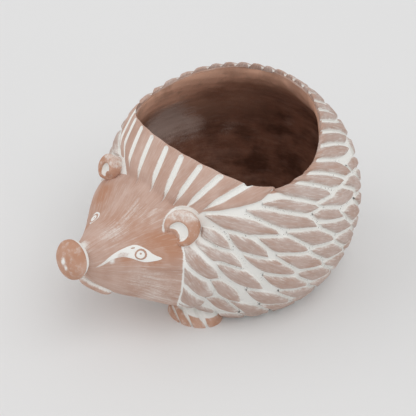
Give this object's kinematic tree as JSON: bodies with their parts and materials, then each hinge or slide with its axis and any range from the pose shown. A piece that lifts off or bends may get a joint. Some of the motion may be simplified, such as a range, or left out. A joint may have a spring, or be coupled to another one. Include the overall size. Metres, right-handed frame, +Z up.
{
  "type": "animal shaped planter",
  "caption": "Round clay planter shaped as a hedgehog, with leaf shaped quills, a wide mouth that holds a plant and a drain hole in its flat base.",
  "frame": {"origin": "centre of the drain hole at the standing face", "axes": "+Z up, the animal looks along -Y, its left side is +X"},
  "size_m": [0.142, 0.1876, 0.1028],
  "materials": {
    "whitewashed_clay": "matte white wash over terracotta",
    "inner_clay": "matte unglazed",
    "face_clay": "matte, thin white wash",
    "bare_clay": "matte, wash rubbed off",
    "quill_clay": "matte, wash rubbed off the tops"
  },
  "bodies": {
    "root": {"pot_wall": "whitewashed_clay", "floor_slab": "inner_clay", "head": "face_clay", "nose_button": "bare_clay", "lower_lip": "face_clay", "left_ear": "bare_clay", "right_ear": "bare_clay", "left_front_paw": "bare_clay", "right_front_paw": "bare_clay", "forehead_quills": "quill_clay", "quill_row_1": "quill_clay", "quill_row_2": "quill_clay", "quill_row_3": "quill_clay", "quill_row_4": "quill_clay", "quill_row_5": "quill_clay", "quill_row_6": "quill_clay", "quill_row_7": "quill_clay", "quill_row_8": "quill_clay", "quill_row_9": "quill_clay"}
  },
  "joints": []
}
